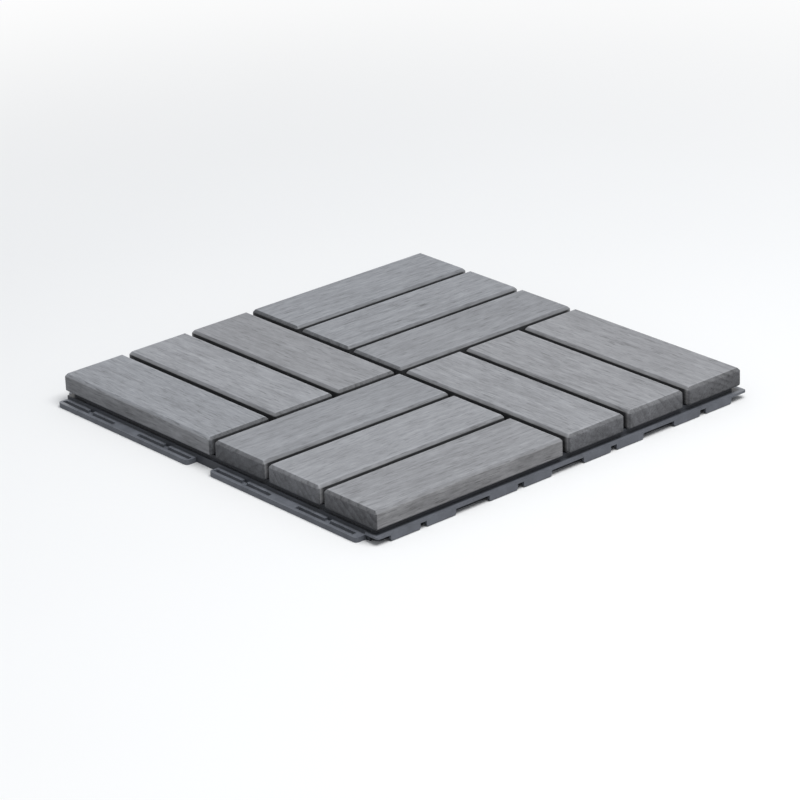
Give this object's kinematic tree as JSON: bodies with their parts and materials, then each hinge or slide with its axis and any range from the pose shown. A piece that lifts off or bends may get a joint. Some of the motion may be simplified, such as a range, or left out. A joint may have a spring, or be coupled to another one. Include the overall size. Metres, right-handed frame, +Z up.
{
  "type": "interlocking deck tile",
  "caption": "Square deck tile of grey-stained wood slats in a basket weave, on a moulded grid base whose edge tabs and slots clip to the next tile.",
  "frame": {"origin": "middle of the slat field, on the plane of the feet that the tile stands on", "axes": "+Z up out of the deck face; the sides towards -Y and +X carry the tabs, the sides towards -X and +Y carry the slotted flanges"},
  "size_m": [0.3048, 0.3048, 0.0203],
  "materials": {
    "stained_wood": "matt grey stain",
    "moulded_plastic": "black, lightly textured moulding",
    "screw_steel": "zinc plated"
  },
  "bodies": {
    "root": {"slat_left_1": "stained_wood", "slat_left_2": "stained_wood", "slat_left_3": "stained_wood", "slat_back_1": "stained_wood", "slat_back_2": "stained_wood", "slat_back_3": "stained_wood", "slat_right_1": "stained_wood", "slat_right_2": "stained_wood", "slat_right_3": "stained_wood", "slat_front_1": "stained_wood", "slat_front_2": "stained_wood", "slat_front_3": "stained_wood", "base": "moulded_plastic", "screws": "screw_steel"}
  },
  "joints": []
}
